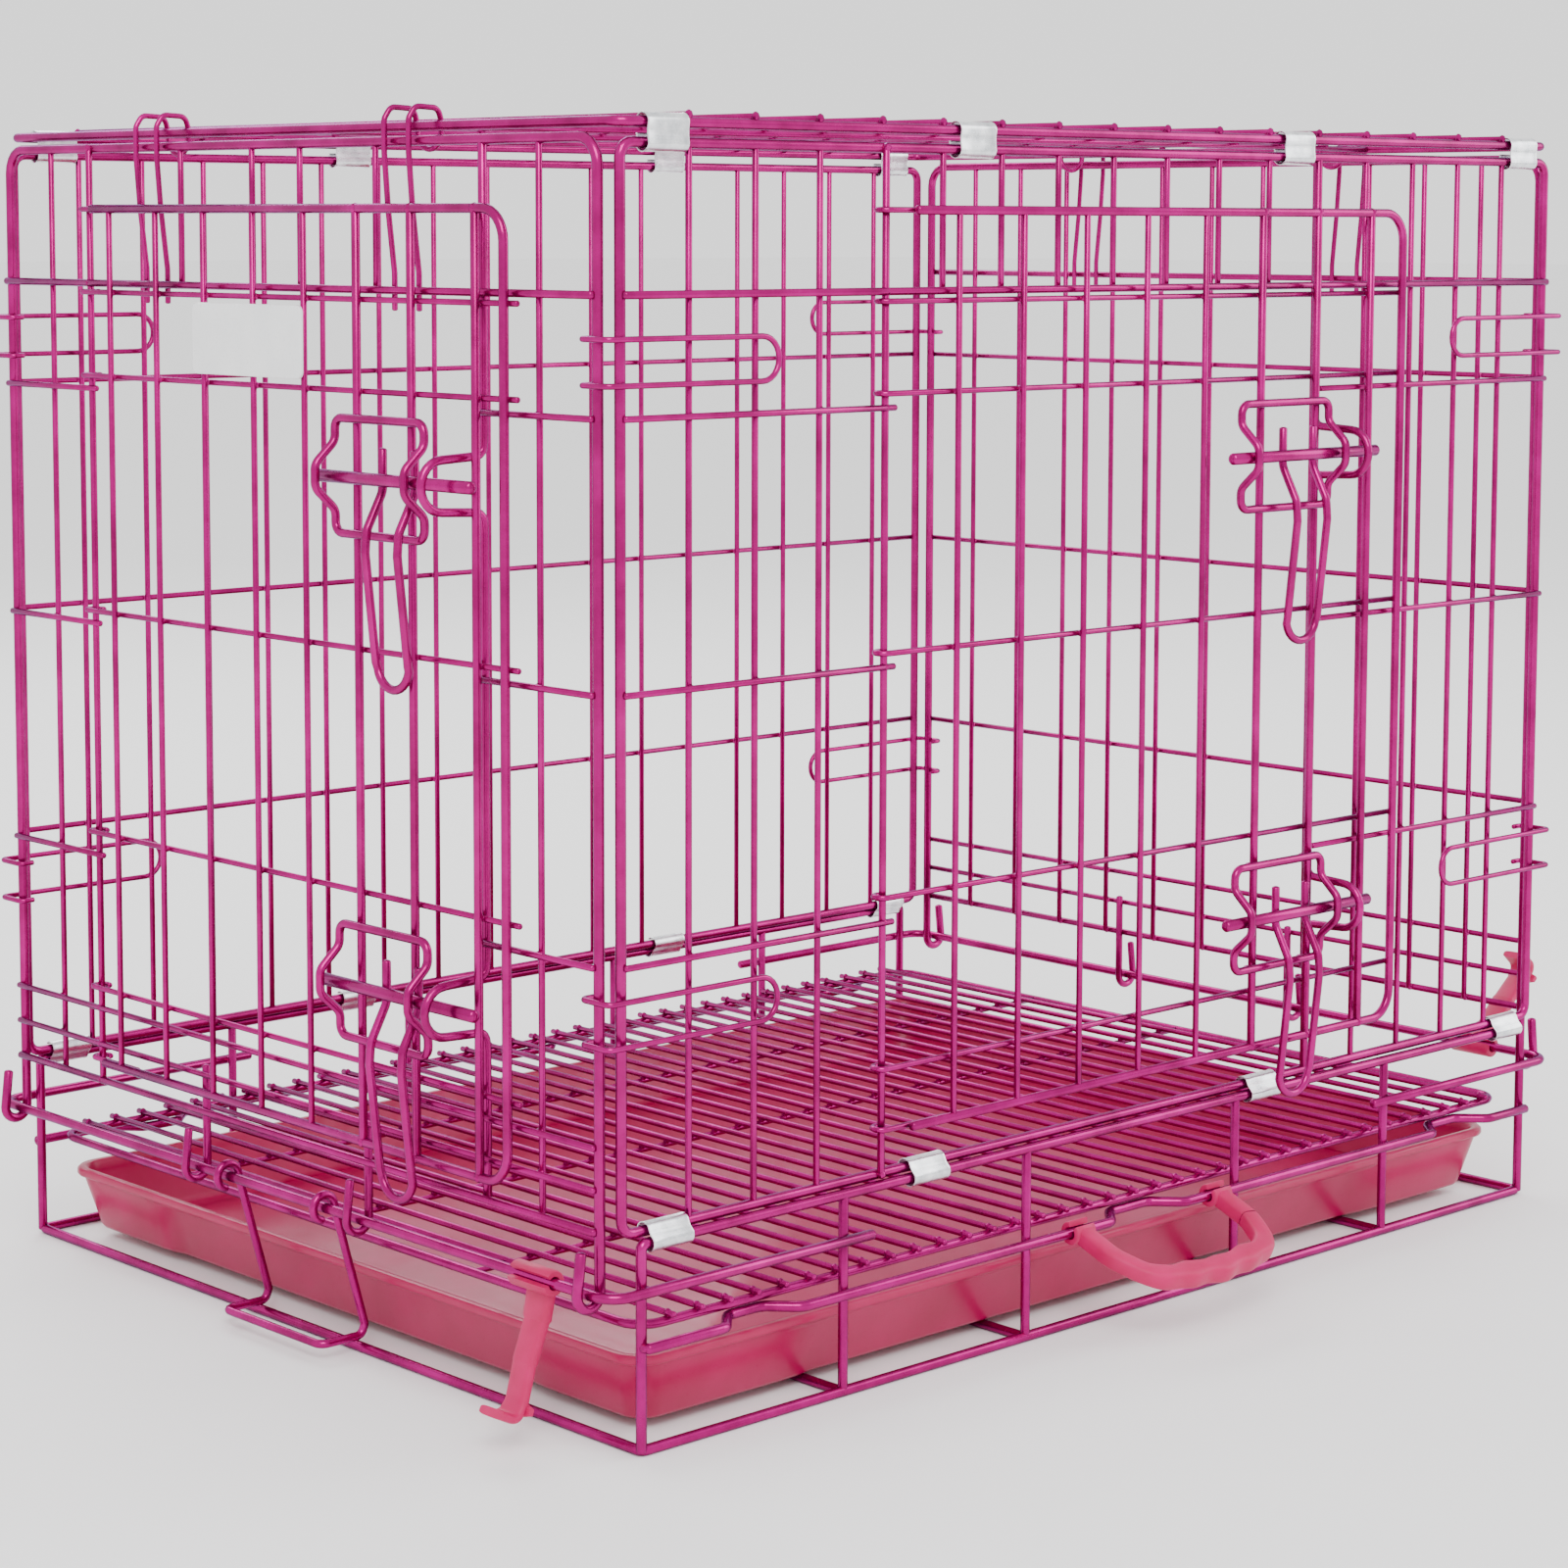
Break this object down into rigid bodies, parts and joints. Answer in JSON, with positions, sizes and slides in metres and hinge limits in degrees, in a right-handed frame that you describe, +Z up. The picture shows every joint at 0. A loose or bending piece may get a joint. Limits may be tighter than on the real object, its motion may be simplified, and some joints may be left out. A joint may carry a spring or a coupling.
{
  "type": "wire dog crate",
  "caption": "Folding wire crate with a side door, an end door, sliding bolt latches, a floor grid, a slide-out tray and a carry handle.",
  "frame": {"origin": "middle of the whole crate's footprint, on the surface it stands on", "axes": "+X along the long side, away from the end door; +Y from the side door to the back; +Z up"},
  "size_m": [0.7048, 0.504, 0.5395],
  "materials": {
    "pink_wire": "metallic candy coat",
    "zinc_clip": "bright zinc",
    "tray_plastic": "gloss with a fine grain",
    "pink_plastic": "grained",
    "white_plate": "smooth"
  },
  "bodies": {
    "base": {"base_frame": "pink_wire", "floor_grid": "pink_wire", "clip_bottom_front_1": "zinc_clip", "clip_bottom_front_2": "zinc_clip", "clip_bottom_front_3": "zinc_clip", "clip_bottom_front_4": "zinc_clip", "clip_bottom_back_1": "zinc_clip", "clip_bottom_back_2": "zinc_clip", "clip_bottom_back_3": "zinc_clip", "clip_bottom_back_4": "zinc_clip"},
    "back": {"back_panel": "pink_wire", "spring_back_left_upper": "pink_wire", "spring_back_left_lower": "pink_wire", "spring_back_right_upper": "pink_wire", "spring_back_right_lower": "pink_wire"},
    "top": {"top_panel": "pink_wire", "clip_top_front_1": "zinc_clip", "clip_top_front_2": "zinc_clip", "clip_top_front_3": "zinc_clip", "clip_top_front_4": "zinc_clip", "clip_top_back_1": "zinc_clip", "clip_top_back_2": "zinc_clip", "clip_top_back_3": "zinc_clip", "clip_top_back_4": "zinc_clip"},
    "front": {"front_panel": "pink_wire", "spring_front_left_upper": "pink_wire", "spring_front_left_lower": "pink_wire", "spring_front_right_upper": "pink_wire", "spring_front_right_lower": "pink_wire"},
    "left_end": {"left_end_panel": "pink_wire", "top_hook_left_back": "pink_wire", "top_hook_left_front": "pink_wire"},
    "right_end": {"right_end_panel": "pink_wire", "top_hook_right_back": "pink_wire", "top_hook_right_front": "pink_wire"},
    "front_door": {"front_door": "pink_wire", "front_upper_latch_guide": "pink_wire", "front_lower_latch_guide": "pink_wire"},
    "end_door": {"end_door": "pink_wire", "end_upper_latch_guide": "pink_wire", "end_lower_latch_guide": "pink_wire", "name_plate": "white_plate"},
    "front_upper_bolt": {"front_upper_latch_bolt": "pink_wire"},
    "front_upper_handle": {"front_upper_latch_handle": "pink_wire"},
    "front_lower_bolt": {"front_lower_latch_bolt": "pink_wire"},
    "front_lower_handle": {"front_lower_latch_handle": "pink_wire"},
    "end_upper_bolt": {"end_upper_latch_bolt": "pink_wire"},
    "end_upper_handle": {"end_upper_latch_handle": "pink_wire"},
    "end_lower_bolt": {"end_lower_latch_bolt": "pink_wire"},
    "end_lower_handle": {"end_lower_latch_handle": "pink_wire"},
    "tray": {"tray": "tray_plastic"},
    "tray_stop": {"tray_stop": "pink_wire"},
    "carry_handle": {"carry_handle": "pink_plastic"},
    "left_fold_hook": {"left_fold_hook": "pink_plastic"},
    "right_fold_hook": {"right_fold_hook": "pink_plastic"}
  },
  "joints": [
    {"name": "back_fold", "type": "hinge", "parent": "base", "child": "back", "pos_m": [-0.01025, 0.24232, 0.091], "axis": [1, 0, 0], "range_deg": [-72, 0], "deforming": ["spring_back_left_upper", "spring_back_left_lower", "spring_back_right_upper", "spring_back_right_lower"]},
    {"name": "top_level", "type": "hinge", "parent": "back", "child": "top", "pos_m": [-0.01025, 0.24232, 0.522], "axis": [1, 0, 0], "range_deg": [0, 72]},
    {"name": "front_fold", "type": "hinge", "parent": "base", "child": "front", "pos_m": [-0.01025, -0.19668, 0.091], "axis": [1, 0, 0], "range_deg": [-72, 0], "deforming": ["spring_front_left_upper", "spring_front_left_lower", "spring_front_right_upper", "spring_front_right_lower"]},
    {"name": "left_end_fold", "type": "hinge", "parent": "base", "child": "left_end", "pos_m": [-0.32465, 0.02282, 0.068], "axis": [0, -1, 0], "range_deg": [-88.8, 0], "deforming": ["top_hook_left_back", "top_hook_left_front"]},
    {"name": "right_end_fold", "type": "hinge", "parent": "base", "child": "right_end", "pos_m": [0.30415, 0.02282, 0.068], "axis": [0, 1, 0], "range_deg": [-90.6, 0], "deforming": ["top_hook_right_back", "top_hook_right_front"]},
    {"name": "front_door_hinge", "type": "hinge", "parent": "front", "child": "front_door", "pos_m": [-0.17056, -0.19888, 0.3], "axis": [0, 0, -1], "range_deg": [0, 150]},
    {"name": "end_door_hinge", "type": "hinge", "parent": "left_end", "child": "end_door", "pos_m": [-0.32095, 0.16482, 0.3], "axis": [0, 0, -1], "range_deg": [0, 150]},
    {"name": "front_upper_bolt_slide", "type": "slide", "parent": "front_door", "child": "front_upper_bolt", "axis": [-1, 0, 0], "range_m": [0, 0.025]},
    {"name": "front_upper_handle_lift", "type": "hinge", "parent": "front_upper_bolt", "child": "front_upper_handle", "pos_m": [0.08605, -0.21518, 0.386], "axis": [-1, 0, 0], "range_deg": [0, 120]},
    {"name": "front_lower_bolt_slide", "type": "slide", "parent": "front_door", "child": "front_lower_bolt", "axis": [-1, 0, 0], "range_m": [0, 0.025]},
    {"name": "front_lower_handle_lift", "type": "hinge", "parent": "front_lower_bolt", "child": "front_lower_handle", "pos_m": [0.08605, -0.21518, 0.173], "axis": [-1, 0, 0], "range_deg": [0, 120]},
    {"name": "end_upper_bolt_slide", "type": "slide", "parent": "end_door", "child": "end_upper_bolt", "axis": [0, 1, 0], "range_m": [0, 0.018]},
    {"name": "end_upper_handle_lift", "type": "hinge", "parent": "end_upper_bolt", "child": "end_upper_handle", "pos_m": [-0.33725, -0.08018, 0.386], "axis": [0, 1, 0], "range_deg": [0, 120]},
    {"name": "end_lower_bolt_slide", "type": "slide", "parent": "end_door", "child": "end_lower_bolt", "axis": [0, 1, 0], "range_m": [0, 0.018]},
    {"name": "end_lower_handle_lift", "type": "hinge", "parent": "end_lower_bolt", "child": "end_lower_handle", "pos_m": [-0.33725, -0.08018, 0.173], "axis": [0, 1, 0], "range_deg": [0, 120]},
    {"name": "tray_slide", "type": "slide", "parent": "base", "child": "tray", "axis": [1, 0, 0], "range_m": [0, 0.55]},
    {"name": "tray_stop_swing", "type": "hinge", "parent": "base", "child": "tray_stop", "pos_m": [-0.32465, 0.02282, 0.068], "axis": [0, 1, 0], "range_deg": [0, 100]},
    {"name": "carry_handle_swing", "type": "hinge", "parent": "base", "child": "carry_handle", "pos_m": [-0.00425, -0.20378, 0.045], "axis": [-1, 0, 0], "range_deg": [-20, 80]},
    {"name": "left_fold_hook_swing", "type": "hinge", "parent": "base", "child": "left_fold_hook", "pos_m": [-0.32465, -0.15718, 0.068], "axis": [0, 1, 0], "range_deg": [0, 110]},
    {"name": "right_fold_hook_swing", "type": "hinge", "parent": "base", "child": "right_fold_hook", "pos_m": [0.30415, -0.15718, 0.068], "axis": [0, 1, 0], "range_deg": [0, 110]}
  ],
  "couplings": [
    {"joint": "top_level", "follows": "back_fold", "ratio": -1},
    {"joint": "front_fold", "follows": "back_fold", "ratio": 1}
  ]
}
